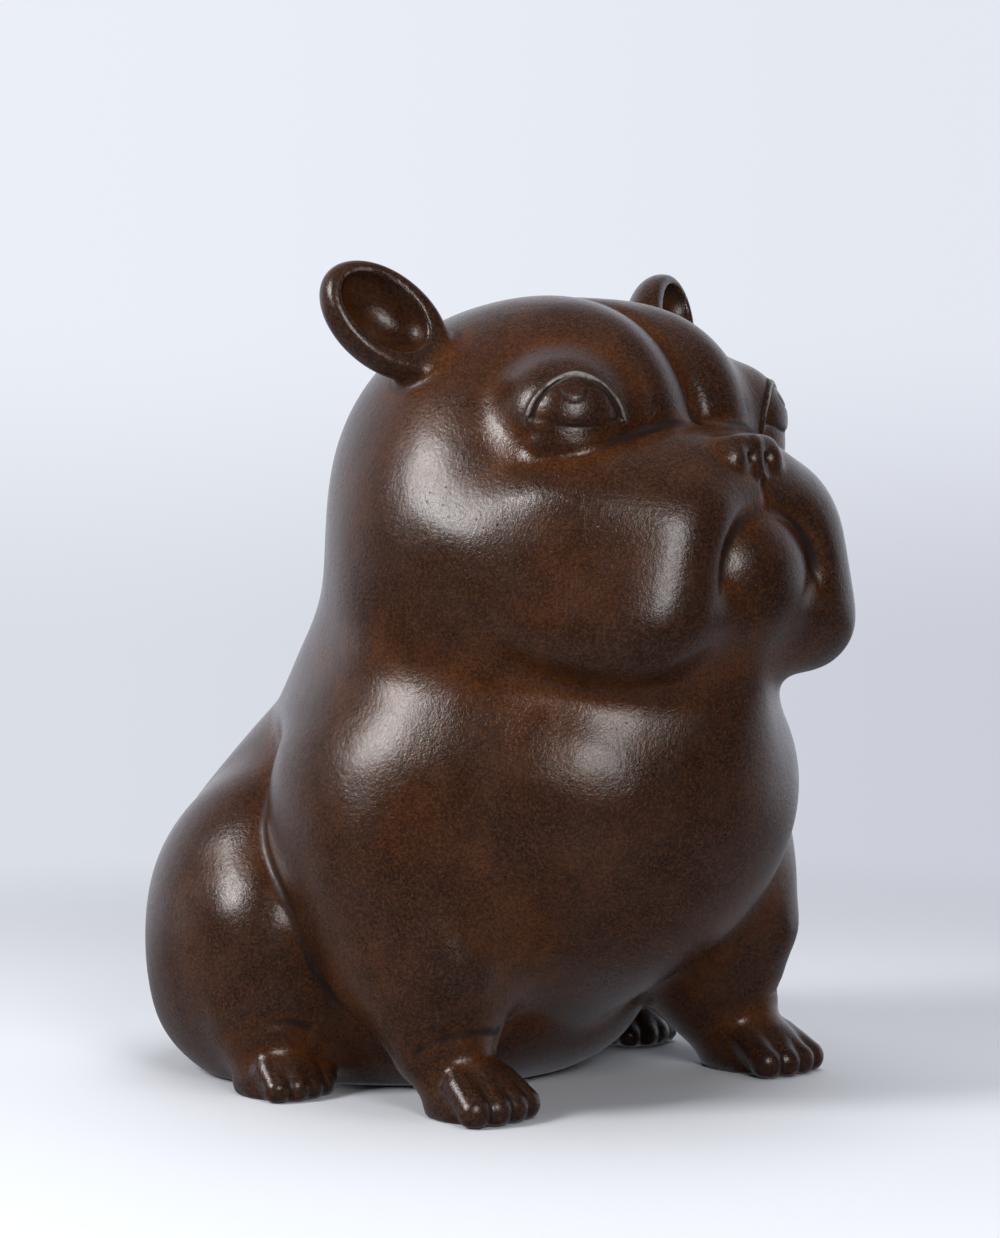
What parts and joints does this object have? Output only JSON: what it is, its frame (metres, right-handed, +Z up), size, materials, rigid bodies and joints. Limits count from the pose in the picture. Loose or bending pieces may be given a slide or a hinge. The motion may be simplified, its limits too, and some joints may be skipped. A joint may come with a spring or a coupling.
{
  "type": "dog sculpture",
  "caption": "Patinated cast bronze sculpture of a seated, stylised bulldog puppy with a big head, hanging flews, heavy-lidded eyes and small upright ears.",
  "frame": {"origin": "centre of the footprint's bounding box, on the ground", "axes": "+Z up from the ground, the dog looks along -Y, its left side is +X"},
  "size_m": [0.4246, 0.5454, 0.5843],
  "materials": {
    "bronze": "brown patinated cast bronze, waxed and rubbed, satin"
  },
  "bodies": {
    "root": {"dog": "bronze"}
  },
  "joints": []
}
